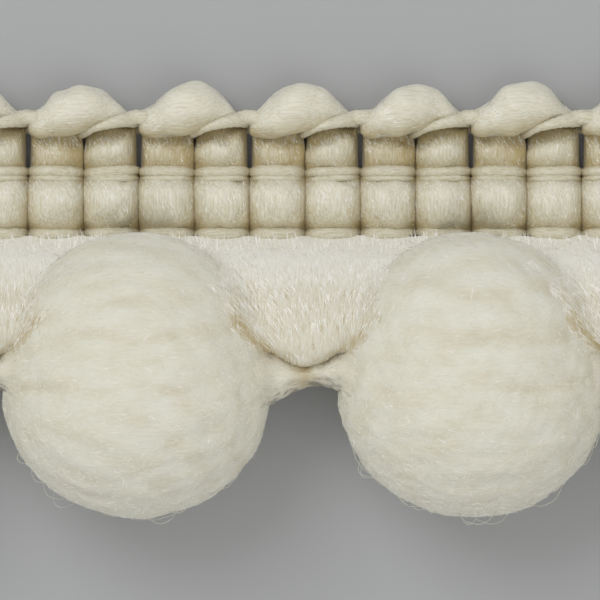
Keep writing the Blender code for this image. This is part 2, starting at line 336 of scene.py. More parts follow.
stitch_bodies, stitch_fibres = [], []
stitch_rng = np.random.default_rng(11)
for column in range(COLUMNS):
    is_left = column % 2 == 0
    middle_x = heading_low[0] + (column + 0.5) * column_width
    puff, lean, rise = stitch_rng.uniform(-1, 1, 3)
    slot_side = np.clip(spread * (-1 if is_left else 1), 0, 1)[:, None]
    x = middle_x + spread[:, None] * (p_half * column_width) * (1 - SLOT_INSET * p_slot * slot_side)
    deep = p_seam + (p_crown - p_seam) * crown[:, None]
    deep = deep - (p_back * crown[:, None] if is_left else 0)
    y = np.broadcast_to(p_y, x.shape).copy()
    face = deep > 0.5
    stitches = ((LOWER_STITCH, face & (y < 0.0)), (UPPER_STITCH, face & (y > 0.5)))
    for (stitch_y, rounding), here in stitches:
        y = np.where(here, y - (y - stitch_y) * rounding * spread[:, None] ** 4, y)
    upper = face & (y > 0.6) & (y < 1.9)
    y = y + np.where(upper, 0.0 if is_left else RIGHT_SLOPE * spread[:, None] * (y - 0.6), 0.0)
    y = y + np.where(face, COLUMN_LEAN * lean * spread[:, None] + COLUMN_RISE * rise, 0.0)
    deep = np.where(face, deep * (1 + COLUMN_PUFF * puff), deep)
    grid = np.stack([x, y, deep], axis=-1)
    bundles = filament_relief(x + FILAMENT_SLANT * y + 0.04 * np.sin(2.3 * y + column), column)
    swell = STITCH_PUFF * soft_noise(grid, 0.9, 50 + column)
    grid = grid + outward * ((bundles + swell) * np.clip(crown[:, None] * 1.6, 0, 1))[..., None]
    grid[..., 2] = np.maximum(grid[..., 2], 0.0)
    # Painted shade, darker towards the seams; the end caps, deep in the seams, are fully shaded.
    shade = np.clip(p_shade + SEAM_SHADE * (1 - crown[:, None]), -1, 1)
    # Painted shade: the left columns' upper stitch lies recessed under the scallop roll.
    if is_left:
        recess = p_back * (RECESS_SHADE + RECESS_SIDE_SHADE * spread[:, None])
        shade = np.clip(shade + recess, -1, 1)
    points, faces = closed_body(grid)
    stitch_bodies.append((points, faces, np.concatenate([shade.ravel(), [1.0, 1.0]])))

    # Broken filament ends that stand off the swollen parts of each stitch. They take most of the
    #     painted shade under them, and a random tone, mostly paler, that paints glints.
    chance = np.interp(p_y[loose_rows], *LOOSE_DENSITY)
    row = stitch_rng.choice(loose_rows, LOOSE_PER_STITCH, p=chance / chance.sum())
    height = row + stitch_rng.uniform(-0.5, 0.5, LOOSE_PER_STITCH)
    station = stitch_rng.uniform(1.5, STITCH_STATIONS - 2.5, LOOSE_PER_STITCH)
    run = stitch_rng.uniform(*LOOSE_LENGTH, LOOSE_PER_STITCH)
    drift = (-LOOSE_SLANT + 0.25 * stitch_rng.normal(size=LOOSE_PER_STITCH)) * run
    lift = stitch_rng.uniform(0.0, 0.05, LOOSE_PER_STITCH)
    root, tip, normal, tone_and_painted_light = lying(grid, grid_normals(grid), shade, station, height, drift, run, lift)
    tone_and_painted_light = 0.9 * tone_and_painted_light + stitch_rng.uniform(-1.4, 0.4, LOOSE_PER_STITCH)
    stitch_fibres.append(slivers(root, tip, LOOSE_WIDTH, normal, LOOSE_SOFTNESS, tone_and_painted_light, column))
add_piece("weft_stitches", stitch_bodies, stitch_fibres, weft_acrylic, "heading_yarn", "heading")

# Scallops of the upper edge. Over each pair of columns the same weft yarn rises out of the left
# one, turns over in a fat roll and dives behind the right one. The upper chain crosses its foot.
SCALLOP_ROWS = (
    # along in columns, top, foot, middle z, half depth
    (0.00, 2.58, 1.88, 1.05, 0.34),
    (0.04, 2.64, 1.76, 1.12, 0.52),
    (0.20, 2.74, 1.71, 1.26, 0.66),
    (0.36, 3.10, 1.68, 1.36, 0.80),
    (0.54, 3.44, 1.68, 1.44, 0.90),
    (0.76, 3.66, 1.74, 1.48, 0.95),
    (1.00, 3.72, 1.90, 1.46, 0.94),
    (1.21, 3.66, 2.04, 1.36, 0.87),
    (1.42, 3.42, 2.18, 1.22, 0.73),
    (1.60, 3.06, 2.25, 1.06, 0.55),
    (1.76, 2.68, 2.24, 0.92, 0.34),
    (1.86, 2.52, 2.28, 0.86, 0.14),
)
SCALLOP_STATIONS = 46
SCALLOP_SIDES = 30
SCALLOP_UNEVENNESS = 0.10
SCALLOP_PUFF = 0.05
ROLL_RADIUS = 0.85
ROLL_TWIST = 0.5
# Painted shade on the roll's underside and at its rising left end.
UNDERSIDE_SHADE = 0.9
RISING_END_SHADE = 0.35
SCALLOP_LOOSE = 500
SCALLOP_FIBRE_WIDTH = 0.8 * LOOSE_WIDTH
SCALLOP_SOFTNESS = 0.8

# The same filament, laid sideways: a satin surface with faint lengthwise lines.
roll_acrylic = yarn_material("roll_acrylic_filament", (YARN_PAINTED_LIGHT, YARN_CREAM, YARN_PAINTED_SHADE),
                             (0.9, 0.07, 0.07), 0.25, 0.03, 0.40, 0.2, ACRYLIC_IOR)

scallop = smooth_rows(SCALLOP_ROWS, SCALLOP_STATIONS, closed=False)
turn = math.tau * np.arange(SCALLOP_SIDES) / SCALLOP_SIDES
scallop_bodies, scallop_fibres = [], []
scallop_rng = np.random.default_rng(4)
for pair in range(COLUMNS // 2):
    lift, fatness = scallop_rng.uniform(-1, 1, 2) * SCALLOP_UNEVENNESS
    s_along, s_top, s_foot, s_mid, s_half = scallop.T
    s_top = s_top + lift * np.sin(math.pi * s_along / 2)
    x = heading_low[0] + (2 * pair + s_along) * column_width
    half_height = (s_top - s_foot) / 2 * (1 + 0.3 * fatness)
    y = ((s_top + s_foot) / 2)[:, None] + half_height[:, None] * np.sin(turn)
    z = s_mid[:, None] + s_half[:, None] * np.cos(turn)
    grid = np.stack([np.broadcast_to(x[:, None], y.shape), y, z], axis=-1)
    outward = np.stack([np.zeros(SCALLOP_SIDES), np.sin(turn), np.cos(turn)], axis=1)
    lay = turn * ROLL_RADIUS + ROLL_TWIST * s_along[:, None]
    bundles = filament_relief(lay, 100 + pair) * np.clip(half_height / 0.3, 0, 1)[:, None]
    swell = SCALLOP_PUFF * soft_noise(grid, 1.1, 200 + pair)
    grid = grid + outward * (bundles + swell)[..., None]
    # Painted shade on the roll's underside and at its rising left end, and on its end caps.
    shade = np.clip(-UNDERSIDE_SHADE * np.sin(turn) - 0.2, 0, 1) * np.ones((SCALLOP_STATIONS, 1))
    shade = np.clip(shade + RISING_END_SHADE * np.clip(1 - s_along / 0.25, 0, 1)[:, None], 0, 1)
    points, faces = closed_body(grid)
    scallop_bodies.append((points, faces, np.concatenate([shade.ravel(), [0.6, 0.6]])))

    station = scallop_rng.uniform(3, SCALLOP_STATIONS - 6, SCALLOP_LOOSE)
    side = scallop_rng.uniform(0, SCALLOP_SIDES, SCALLOP_LOOSE)
    run = scallop_rng.uniform(0.2, 0.5, SCALLOP_LOOSE)
    drift = 0.16 * run * scallop_rng.normal(size=SCALLOP_LOOSE)
    lift = scallop_rng.uniform(0, 0.03, SCALLOP_LOOSE)
    root, tip, normal, tone_and_painted_light = lying(grid, grid_normals(grid), shade, station, side, run, drift, lift)
    # The loose filaments take the roll's painted shade, and a random tone, mostly paler, as glints.
    tone_and_painted_light = tone_and_painted_light + scallop_rng.uniform(-1.5, 0.3, SCALLOP_LOOSE)
    scallop_fibres.append(slivers(root, tip, SCALLOP_FIBRE_WIDTH, normal, SCALLOP_SOFTNESS, tone_and_painted_light, 300 + pair))
add_piece("scallop_rolls", scallop_bodies, scallop_fibres, roll_acrylic, "heading_yarn", "heading")

# Chain threads. Thin multifilament polyester runs along the heading in three rows of flat stitches
# and binds the weft. In the middle row a thick and a thin strand lie over each column, in the lower
# row one thick strand, and all turn in at its seams. The upper row loops over the scallops' feet.
CHAIN_SIDES = 12
CHAIN_STATIONS = 17
BACK_STATIONS, BACK_SIDES = 9, 8
LOOP_STATIONS = 20
CHAIN_ROWS = (
    # height up the face, half height and half depth of the strand, z over the crown, tilt on
    # right columns
    (0.345, 0.235, 0.26, 1.14, 0.045),
    (0.080, 0.125, 0.15, 1.27, 0.025),
    (-2.05, 0.275, 0.28, 1.20, 0.0),
)
CHAIN_STITCH = (
    # along in half columns, dip down the face, sunk below the crown, fatness
    (-1.03, 0.05, 0.95, 0.60),
    (-0.93, 0.03, 0.72, 0.74),
    (-0.80, 0.01, 0.30, 0.90),
    (-0.50, 0.0, 0.04, 1.0),
    (0.00, 0.0, 0.0, 1.05),
    (0.50, 0.0, 0.04, 1.0),
    (0.80, 0.01, 0.30, 0.90),
    (0.93, 0.03, 0.72, 0.74),
    (1.03, 0.05, 0.95, 0.60),
)
BACK_CHAIN_ROWS = (2.00, 0.28, -2.08)
BACK_STITCH = (
    # along in half columns, z
    (-1.0, 0.32),
    (-0.7, 0.17),
    (0.0, 0.14),
    (0.7, 0.17),
    (1.0, 0.32),
)
UPPER_CHAIN = (
    # along in columns, y, z, half height, half depth
    (0.93, 1.72, 0.55, 0.14, 0.16),
    (1.02, 1.82, 1.15, 0.16, 0.18),
    (1.16, 1.99, 1.62, 0.15, 0.20),
    (1.42, 2.15, 1.76, 0.19, 0.22),
    (1.68, 2.29, 1.64, 0.25, 0.27),
    (1.86, 2.33, 1.34, 0.29, 0.30),
    (1.97, 2.32, 0.90, 0.28, 0.26),
    (2.00, 2.32, 0.50, 0.22, 0.18),
)
EDGE_LOOP = (
    # along in columns, y, z, half height, half depth
    (1.70, 2.26, 0.85, 0.16, 0.18),
    (1.79, 2.38, 1.20, 0.25, 0.26),
    (1.92, 2.43, 1.46, 0.29, 0.29),
    (2.06, 2.42, 1.58, 0.29, 0.29),
    (2.20, 2.34, 1.60, 0.26, 0.26),
    (2.31, 2.24, 1.48, 0.20, 0.20),
    (2.40, 2.14, 1.25, 0.13, 0.14),
)
BACK_STRAND = (0.20, 0.13)
THREAD_PLY = 0.30
THREAD_RELIEF = 0.014
THREAD_LOOSE = 80
THREAD_FIBRE_WIDTH = 0.034
POLYESTER_IOR = 1.57

# Bright multifilament polyester with a light twist, which shows as fine slanting lines. They are
# drawn 0.055 mm wide, as small bundles of the 0.02 mm filaments.
# Its colours are painted light, the thread's own colour and painted shade.
chain_polyester = yarn_material("chain_polyester_thread", ("#F3F1E6", "#E2DDC8", "#B5A474"),
                                (0.5, 0.055, 0.055), 0.28, 0.05, 0.40, 0.15, POLYESTER_IOR)


def thread(rows, stations, sides, seed):
    """A thread through rows of x, y, z, half height and half depth, with its twist in relief."""
    rows = smooth_rows(rows, stations, closed=False)
    path, half_high, half_deep = rows[:, :3], rows[:, 3], rows[:, 4]
    ahead = unit(np.gradient(path, axis=0))
    deep_way = unit(np.cross(ahead, [0.0, 1.0, 0.0]))
    high_way = np.cross(deep_way, ahead)
    around = math.tau * np.arange(sides) / sides
    run = np.concatenate([[0], np.cumsum(np.linalg.norm(np.diff(path, axis=0), axis=1))])
    ply = THREAD_RELIEF * np.cos(2 * around + math.tau * run[:, None] / THREAD_PLY + seed)
    high = ((half_high[:, None] + ply) * np.sin(around))[..., None]
    wide = ((half_deep[:, None] + ply) * np.cos(around))[..., None]
    return path[:, None] + high * high_way[:, None] + wide * deep_way[:, None], path


def thread_parts(grid, shade, loose, seed):
    """A thread's body, and loose filaments that lie along it, as two parts."""
    rng = np.random.default_rng(seed)
    points, faces = closed_body(grid)
    shades = np.concatenate([np.repeat(shade, grid.shape[1]), shade[[0, -1]]])
    station = rng.uniform(1, len(grid) - 3, loose)
    side = rng.uniform(0, grid.shape[1], loose)
    run = rng.uniform(0.12, 0.32, loose)
    drift = 0.25 * run * rng.normal(size=loose)
    body_shade = np.broadcast_to(shade[:, None], grid.shape[:2])
    root, tip, normal, tone_and_painted_light = lying(grid, grid_normals(grid), body_shade, station, side, run, drift,
                                    rng.uniform(0, 0.035, loose))
    # The loose filaments take the thread's painted shade, and a random tone that paints some as glints.
    tone_and_painted_light = tone_and_painted_light + rng.uniform(-0.6, 0.5, loose)
    return (points, faces, shades), slivers(root, tip, THREAD_FIBRE_WIDTH, normal, LOOSE_SOFTNESS, tone_and_painted_light, seed)


chain_parts, back_parts = [], []
chain_rng = np.random.default_rng(8)
for column in range(COLUMNS):
    middle_x = heading_low[0] + (column + 0.5) * column_width
    half = column_width / 2
    is_right = column % 2 == 1
    for place, (y, half_high, half_deep, z, tilt) in enumerate(CHAIN_ROWS):
        slope = (tilt if is_right else -0.3 * tilt) + 0.015 * chain_rng.normal()
        swell = 1 + 0.06 * chain_rng.normal()
        rows = [(middle_x + a * half, y + slope * a - dip, z - sunk,
                 half_high * swell * fat, half_deep * fat) for a, dip, sunk, fat in CHAIN_STITCH]
        grid, path = thread(rows, CHAIN_STATIONS, CHAIN_SIDES, column)
        seam = np.abs(path[:, 0] - middle_x) / half
        # Painted shade, deepest where the strand turns in at the seams.
        shade = np.clip(0.1 + (seam - 0.55) * 1.6, 0.1, 0.9)
        chain_parts.append(thread_parts(grid, shade, THREAD_LOOSE, 40 * column + place))
    for y in BACK_CHAIN_ROWS:
        rows = [(middle_x + a * half, y, z, *BACK_STRAND) for a, z in BACK_STITCH]
        grid, _ = thread(rows, BACK_STATIONS, BACK_SIDES, column)
        points, faces = closed_body(grid)
        # The strands at the back get some painted shade.
        back_parts.append((points, faces, 0.3))
for pair in range(COLUMNS // 2):
    for table in (UPPER_CHAIN, EDGE_LOOP):
        if table is EDGE_LOOP and pair == COLUMNS // 2 - 1:
            continue
        rows = [(heading_low[0] + (2 * pair + along) * column_width, *rest) for along, *rest in table]
        grid, path = thread(rows, LOOP_STATIONS, CHAIN_SIDES, pair)
        # Painted shade, darker where the thread runs low.
        shade = np.clip(1.0 - 0.75 * path[:, 2], 0.05, 0.9)
        chain_parts.append(thread_parts(grid, shade, THREAD_LOOSE, 2000 + pair))
chain_bodies, chain_fibres = zip(*chain_parts)
add_piece("chain_threads", [*chain_bodies, *back_parts], chain_fibres, chain_polyester,
          "heading_yarn", "heading")

# Tufts. Between two pompoms the weft yarn comes down from the heading's lower edge, brushed out
# and glossy, and narrows to a tip in front of the tie that draws the pile strand in.
TUFT_ROWS = (
    # y, half width, z low, z high
    (-2.14, 5.10, 0.50, 1.04),
    (-2.44, 5.02, 0.35, 1.80),
    (-2.67, 4.85, 0.30, 2.88),
    (-3.00, 4.60, 0.40, 3.85),
    (-3.60, 4.05, 0.80, 4.70),
    (-4.30, 3.40, 1.40, 5.25),
    (-5.00, 2.85, 2.20, 5.65),
    (-5.65, 2.38, 2.80, 5.98),
    (-6.10, 1.95, 3.10, 6.05),
    (-6.50, 1.45, 3.50, 5.96),
    (-6.85, 0.95, 3.90, 5.72),
    (-7.05, 0.52, 4.20, 5.45),
    (-7.14, 0.15, 4.50, 5.15),
)
TUFT_RINGS = 30
TUFT_FRONT, TUFT_BACK = 26, 14
TUFT_SQUARENESS = 3.0
TUFT_LOBE = 0.03
TUFT_BLEND = 1.4
TUFT_OVERLAP = 0.9
TUFT_WIDEST = 5.15
TUFT_PUFF = 0.025
TUFT_BACK_Z = 4.0
GROOVE_DEPTH = 0.55
GROOVE_WIDTH = 0.32
# Painted shade in the groove where tuft and pompom meet.
GROOVE_SHADE = 0.95
CREASE_DEPTH = 0.15
# Painted light towards the tuft's top.
TOP_PAINTED_LIGHT = 0.7
END_TUFT_WIDTH = 2.05
TUFT_FIBRES = 6400
TUFT_FIBRE_LENGTH = (0.30, 0.75)
TUFT_FIBRE_WIDTH = 0.046
TUFT_LEAN = 0.24
TUFT_SCATTER = 1.2
COLUMNS_PER_POMPOM = 6
POMPOM_Y = -8.13
POMPOM_Z = 4.20
POMPOM_HALF_WIDTH = 5.06
POMPOM_REACH_UP = 6.10
POMPOM_REACH_DOWN = 4.70
POMPOM_HALF_DEPTH = 4.80

# Acrylic yarn brushed open: smoother and glossier than the cut pile, with lengthwise glints. Its
# streaks are bundles of filaments, drawn 0.07 mm wide.
# Its colours are painted light, the tuft's own colour and painted shade.
tuft_acrylic = yarn_material("tuft_brushed_acrylic", (YARN_PAINTED_LIGHT, "#E3E0D0", "#BBA87A"),
                             (0.07, 0.6, 0.3), 0.24, 0.03, 0.36, 0.3, ACRYLIC_IOR)


def soft_max(first, second, blend):
    """The larger of two heights, with a fillet about as wide as the blend where they meet."""
    return (first + second + np.sqrt((first - second) ** 2 + blend**2)) / 2


tuft_rows = smooth_rows(TUFT_ROWS, TUFT_RINGS, closed=False)
t_y, t_half, t_low, t_high = (column[:, None] for column in tuft_rows.T)
rise = (t_y - POMPOM_Y) / POMPOM_REACH_UP
half_pitch = COLUMNS_PER_POMPOM / 2 * column_width
to_pompom = half_pitch - POMPOM_HALF_WIDTH * np.sqrt(np.maximum(1 - rise**2, 0))
reach_x = np.minimum(np.maximum(t_half, to_pompom) + TUFT_OVERLAP, TUFT_WIDEST)
lobed = np.clip((t_y + 2.9) / 0.6, 0, 1)
tucked = np.clip((-6.6 - t_y) / 0.4, 0, 1)
grooved = np.clip((-4.8 - t_y) / 0.6, 0, 1)
groove_z = t_high - GROOVE_DEPTH - 4 * np.clip((t_y + 4.6) / 0.8, 0, 1) - 2 * tucked
for number in range(1, 6):
    rng = np.random.default_rng(20 + number)
    side = {1: -1, 5: 1}.get(number, 0)
    middle_x = (number - 3) * COLUMNS_PER_POMPOM * column_width
    front = np.sin(np.linspace(math.pi / 2, -math.pi / 2, TUFT_FRONT))
    back = np.sin(np.linspace(-math.pi / 2, math.pi / 2, TUFT_BACK + 2)[1:-1])
    across = reach_x * np.concatenate([front, back])
    own_half = np.where(across * side > 0, np.minimum(t_half, END_TUFT_WIDTH), t_half)
    across = np.where(across * side > 0, across * own_half / reach_x, across)
    inside = np.clip(np.abs(across) / own_half, 0, 1)
    bulge = (1 - inside**TUFT_SQUARENESS) ** 0.6 * (t_high - t_low) / 2
    beyond = np.maximum(np.abs(across) - own_half, 0)
    flank = (half_pitch - np.abs(across)) / POMPOM_HALF_WIDTH
    ball = 1 - rise**2 - flank**2
    # Past its own half width the brushed edge spreads over the pompom's flank, and sinks into it.
    hidden = 0.55 * np.clip((np.abs(across) - own_half - 0.2 * grooved) / 0.6, 0, 1)
    hidden = hidden - 0.05 - 0.05 * grooved + 1.5 * tucked
    ball_z = POMPOM_Z + POMPOM_HALF_DEPTH * np.sign(ball) * np.sqrt(np.abs(ball)) - hidden - 3 * lobed
    middle_z = (t_low + t_high) / 2
    front_z = middle_z + bulge - 2 * beyond
    # Lower down, a soft groove lies where tuft and pompom meet, deeper on the left.
    groove = np.exp(-((np.abs(across) - own_half + 0.02) / GROOVE_WIDTH) ** 2) * grooved
    groove = groove * np.where(across > 0, 0.6, 0.9)
    merged_z = soft_max(soft_max(front_z, ball_z, TUFT_BLEND), groove_z, 0.5) - CREASE_DEPTH * groove
    front_z = np.where(across * side > 0, front_z, merged_z)
    back_z = middle_z - bulge + (TUFT_BACK_Z - middle_z) * np.clip(beyond / 0.8, 0, 1)
    z = np.where(np.arange(TUFT_FRONT + TUFT_BACK) < TUFT_FRONT, front_z, back_z)
    y = t_y + TUFT_LOBE * lobed * np.cos(math.tau * across / column_width)
    grid = np.stack([middle_x + across, y, z], axis=-1)
    outward = grid_normals(grid)
    grid = grid + outward * (TUFT_PUFF * soft_noise(grid, 0.8, 30 + number))[..., None]
    grid[..., 2] = np.maximum(grid[..., 2], 0.0)
    # Painted shade in the groove, painted light towards the top, painted shade on the back and caps.
    shade = GROOVE_SHADE * groove + 0.12 - TOP_PAINTED_LIGHT * np.clip((t_y + 4.4) / 1.6, 0, 1)
    shade = shade + 0.4 * (np.arange(TUFT_FRONT + TUFT_BACK) >= TUFT_FRONT)
    points, faces = closed_body(grid)
    in_front = np.clip(grid_normals(grid)[..., 2:], 0, 1)
    normals = unit(grid_normals(grid) + in_front * TUFT_SCATTER * [0, 0.1, 1])
    normals = np.concatenate([normals.reshape(-1, 3), [[0, 1, 0], [0, -1, 0]]])
    bodies = [(points, faces, np.concatenate([shade.ravel(), [0.5, 0.5]]), normals)]

    ring = np.interp(rng.uniform(2.2, 6.9, TUFT_FIBRES), -t_y[:, 0], np.arange(TUFT_RINGS))
    spin = np.where(rng.uniform(0, 1, TUFT_FIBRES) < 0.8, rng.uniform(0, TUFT_FRONT - 1, TUFT_FIBRES),
                    rng.uniform(TUFT_FRONT, TUFT_FRONT + TUFT_BACK, TUFT_FIBRES))
    run = rng.uniform(*TUFT_FIBRE_LENGTH, TUFT_FIBRES)
    drift = (-TUFT_LEAN * np.where(spin < TUFT_FRONT, 1, -1) + 0.22 * rng.normal(size=TUFT_FIBRES)) * run
    root, tip, normal, tone_and_painted_light = lying(grid, grid_normals(grid), shade, ring, spin, run, drift,
                                    rng.uniform(0.01, 0.06, TUFT_FIBRES))
    tip[:, 2] = np.maximum(tip[:, 2], 0.02)
    # Half of the topmost ones stick up over the heading's lower chain.
    upright = (ring < 2.5) & (spin < TUFT_FRONT) & (rng.uniform(0, 1, TUFT_FIBRES) < 0.5)
    astray = rng.uniform((-0.15, 0.12, 0.02), (0.05, 0.45, 0.12), (TUFT_FIBRES, 3))
    tip = np.where(upright[:, None], root + astray, tip)
    # The fibres take the tuft's painted shade and light, and a random tone that paints many as glints.
    tone_and_painted_light = tone_and_painted_light + rng.uniform(-1.4, 0.7, TUFT_FIBRES)
    normal = unit(normal + [0, 0.05, 0.5 * TUFT_SCATTER] * (normal[:, 2:] > 0))
    normal = np.where(upright[:, None], unit(np.array([0.0, 0.3, 1.0])), normal)
    fibres = [slivers(root, tip, TUFT_FIBRE_WIDTH, normal, LOOSE_SOFTNESS, tone_and_painted_light, 500 + number)]
    add_piece(f"yarn_tuft_{number}", bodies, fibres, tuft_acrylic, "tuft_yarn", f"tuft_{number}")

# Necks. The pile strand that the pompoms are cut from runs on from one to the next. A tie draws it
# in behind each tuft's tip, so it shows as two soft lobes. At the ends of the trim it is cut off.
NECK_Z = 4.10
NECK_ROWS = (
    # x, y, half height, half depth
    (-2.60, -7.30, 1.60, 2.40),
    (-2.10, -7.34, 1.45, 2.15),
    (-1.60, -7.40, 1.24, 1.80),
    (-1.10, -7.44, 1.02, 1.45),
    (-0.60, -7.44, 0.76, 1.35),
    (-0.15, -7.42, 0.50, 1.15),
    (0.10, -7.36, 0.46, 1.10),
    (0.50, -7.28, 0.50, 1.20),
    (1.00, -7.24, 0.66, 1.45),
    (1.50, -7.20, 0.92, 1.75),
    (2.10, -7.18, 1.20, 2.15),
    (2.60, -7.20, 1.45, 2.40),
)
STUB_ROWS = (
    # further out than the tie, y, half height, half depth
    (0.45, -7.40, 0.50, 0.70),
    (1.00, -7.42, 0.72, 0.90),
    (1.60, -7.44, 0.88, 1.00),
    (1.80, -7.44, 0.90, 1.00),
    (1.88, -7.44, 0.78, 0.86),
    (1.90, -7.44, 0.45, 0.50),
)
NECK_BLEND = 0.7
NECK_PUFF = 0.06
NECK_RINGS = 34
NECK_SIDES = 30
NECK_FIBRES = 1500
NECK_SOFTNESS = 0.85

# Acrylic pile strand drawn tight by the tie: dull, with lines along the strand. They are drawn
# 0.07 mm wide, as small bundles of its fibres.
# Its colours are painted light, the strand's own colour and painted shade.
neck_acrylic = yarn_material("neck_drawn_acrylic", (YARN_PAINTED_LIGHT, "#E7E4D4", "#BFAD80"),
                             (0.7, 0.07, 0.07), 0.15, 0.03, 0.55, 0.25, ACRYLIC_IOR)

neck_turn = math.tau * np.arange(NECK_SIDES) / NECK_SIDES
for number in range(1, 6):
    rng = np.random.default_rng(60 + number)
    side = {1: -1, 5: 1}.get(number, 0)
    rows = list(NECK_ROWS)
    if side < 0:
        rows = [(-x, *rest) for x, *rest in reversed(STUB_ROWS)]
        rows = rows + [row for row in NECK_ROWS if row[0] >= 0]
    if side > 0:
        rows = [row for row in NECK_ROWS if row[0] <= 0] + list(STUB_ROWS)
    n_x, n_y, n_high, n_deep = smooth_rows(rows, NECK_RINGS, closed=False).T
    x = (number - 3) * COLUMNS_PER_POMPOM * column_width + n_x[:, None]
    x = np.broadcast_to(x, (NECK_RINGS, NECK_SIDES))
    y = n_y[:, None] + n_high[:, None] * np.cos(neck_turn)
    z = NECK_Z + n_deep[:, None] * np.sin(neck_turn)
    ball_rise = (y - POMPOM_Y) / np.where(y > POMPOM_Y, POMPOM_REACH_UP, POMPOM_REACH_DOWN)
    flank = (half_pitch - np.abs(n_x[:, None])) / POMPOM_HALF_WIDTH
    ball = 1 - ball_rise**2 - flank**2
    far = np.clip(np.abs(n_x[:, None]) - 1.6, 0, 1)
    ball_deep = POMPOM_HALF_DEPTH * np.sign(ball) * np.sqrt(np.abs(ball)) - 0.10 - 0.2 * far
    soft_deep = soft_max(np.abs(z - POMPOM_Z), ball_deep, NECK_BLEND * (1 - far))
    z = np.where(n_x[:, None] * side > 0, z, POMPOM_Z + np.sign(z - POMPOM_Z) * soft_deep)
    grid = np.stack([x, y, z], axis=-1)
    outward = grid_normals(grid)
    grid = grid + outward * (NECK_PUFF * soft_noise(grid, 0.7, 70 + number))[..., None]
    # Painted shade: it is darker at the tie and on its upper side, under the tuft's tip, and at its
    #     end caps.
    shade = np.clip(0.75 - 1.3 * np.abs(n_x), 0, 0.8)[:, None]
    shade = np.clip(shade + 0.8 * np.clip(np.cos(neck_turn) - 0.3, 0, 1), 0, 1)
    points, faces = closed_body(grid)
    bodies = [(points, faces, np.concatenate([shade.ravel(), [0.4, 0.4]]))]

    ring = rng.uniform(1, NECK_RINGS - 2, NECK_FIBRES)
    station = rng.uniform(0, NECK_SIDES, NECK_FIBRES)
    run = rng.uniform(0.2, 0.6, NECK_FIBRES)
    drift = 0.3 * run * rng.normal(size=NECK_FIBRES)
    away = np.sign(np.interp(ring, np.arange(NECK_RINGS), n_x))
    root, tip, normal, tone_and_painted_light = lying(grid, outward, shade, ring, station, run * away, drift,
                                    rng.uniform(0.0, 0.05, NECK_FIBRES))
    # The fibres take the neck's painted shade, and a random tone.
    tone_and_painted_light = tone_and_painted_light + rng.uniform(-0.3, 0.2, NECK_FIBRES)
    fibres = [slivers(root, tip, LOOSE_WIDTH, normal, NECK_SOFTNESS, tone_and_painted_light, 700 + number)]
    add_piece(f"strand_neck_{number}", bodies, fibres, neck_acrylic, "neck_yarn", f"neck_{number}")

# Pompoms. Each is a stretch of the pile strand between two ties, brushed out and trimmed to a ball:
# tens of thousands of cut acrylic fibres, which end in one soft, slightly furrowed surface.
SHOULDER_SQUARENESS = 0.15
PILE_FIBRES = 18000
PILE_LENGTH = (0.25, 0.65)
PILE_WIDTH = 0.030
PILE_SPREAD = 0.80
PILE_LIFT = 0.015
PILE_SUNK = 0.018
PILE_SOFTNESS = 0.93
STANDING_SHARE = 0.20
STANDING_LIFT = 0.10
# Painted glints: the share of pile fibres in the painted-light colour, more towards the rim.
GLINT_SHARE = (0.05, 0.16)
STRAY_FIBRES = 16
STRAY_WIDTH = 0.012
STRAY_STATIONS = 9
CORE_SUBDIVISIONS = 6
LUMP_HEIGHT = 0.038
MOTTLING = 0.11
FURROW_DEPTH = 0.08
FURROW_WIDTH = 0.045
# Painted shade in the furrows, besides their dent.
FURROW_SHADE = 0.40
FURROWS = (
    # height, as the sine of its latitude, strength
    (0.72, 0.35),
    (0.44, 0.80),
    (0.04, 0.75),
    (-0.50, 0.45),
)
FLOOR_CLEARANCE = 0.01

# Cut acrylic pile: matt and velvety. Its streaks run sideways, as the strand that it is cut from,
# and are 0.1 mm wide, where several fibre ends lie together.
# Its colours are painted light, the pile's own colour and painted shade.
pile_acrylic = yarn_material("pompom_cut_acrylic_pile", (YARN_PAINTED_LIGHT, "#E6E4D4", "#C4B489"),
                             (0.50, 0.10, 0.10), 0.10, 0.016, 0.70, 0.35, ACRYLIC_IOR)


def pile_reach(direction, seed):
    """The trimmed surface's distance from the pompom's middle, along unit directions."""
    up = direction[..., 1] > 0
    halves = np.stack([np.full(up.shape, POMPOM_HALF_WIDTH),
                       np.where(up, POMPOM_REACH_UP, POMPOM_REACH_DOWN),
                       np.full(up.shape, POMPOM_HALF_DEPTH)], axis=-1)
    power = 2 + SHOULDER_SQUARENESS * np.clip(direction[..., 1], 0, 1)
    reach = 1 / np.sum(np.abs(direction / halves) ** power[..., None], axis=-1) ** (1 / power)
    lumps = soft_noise(direction * [0.45, 1.0, 1.0], 0.28, seed)
    lumps = lumps + 0.5 * soft_noise(direction, 0.12, seed + 1)
    lumps = lumps + 0.35 * soft_noise(direction, 0.06, seed + 4)
    return reach + LUMP_HEIGHT * lumps - FURROW_DEPTH * furrows(direction, seed + 2)


def furrows(direction, seed):
    """How deep the soft sideways furrows are at unit directions, from 0 to 1."""
    height = direction[..., 1] + 0.05 * soft_noise(direction, 0.9, seed)
    bands = sum(strength * np.exp(-((height - middle) / FURROW_WIDTH) ** 2) for middle, strength in FURROWS)
    return bands * np.clip(0.4 + 0.6 * soft_noise(direction, 1.1, seed + 2), 0, 1)


def ball_directions(count):
    """Unit directions spread evenly over a ball."""
    i = np.arange(count)
    z = 1 - 2 * (i + 0.5) / count
    ring = np.sqrt(1 - z * z)
    golden = math.pi * (3 - math.sqrt(5))
    return np.stack([ring * np.cos(golden * i), ring * np.sin(golden * i), z], axis=1)


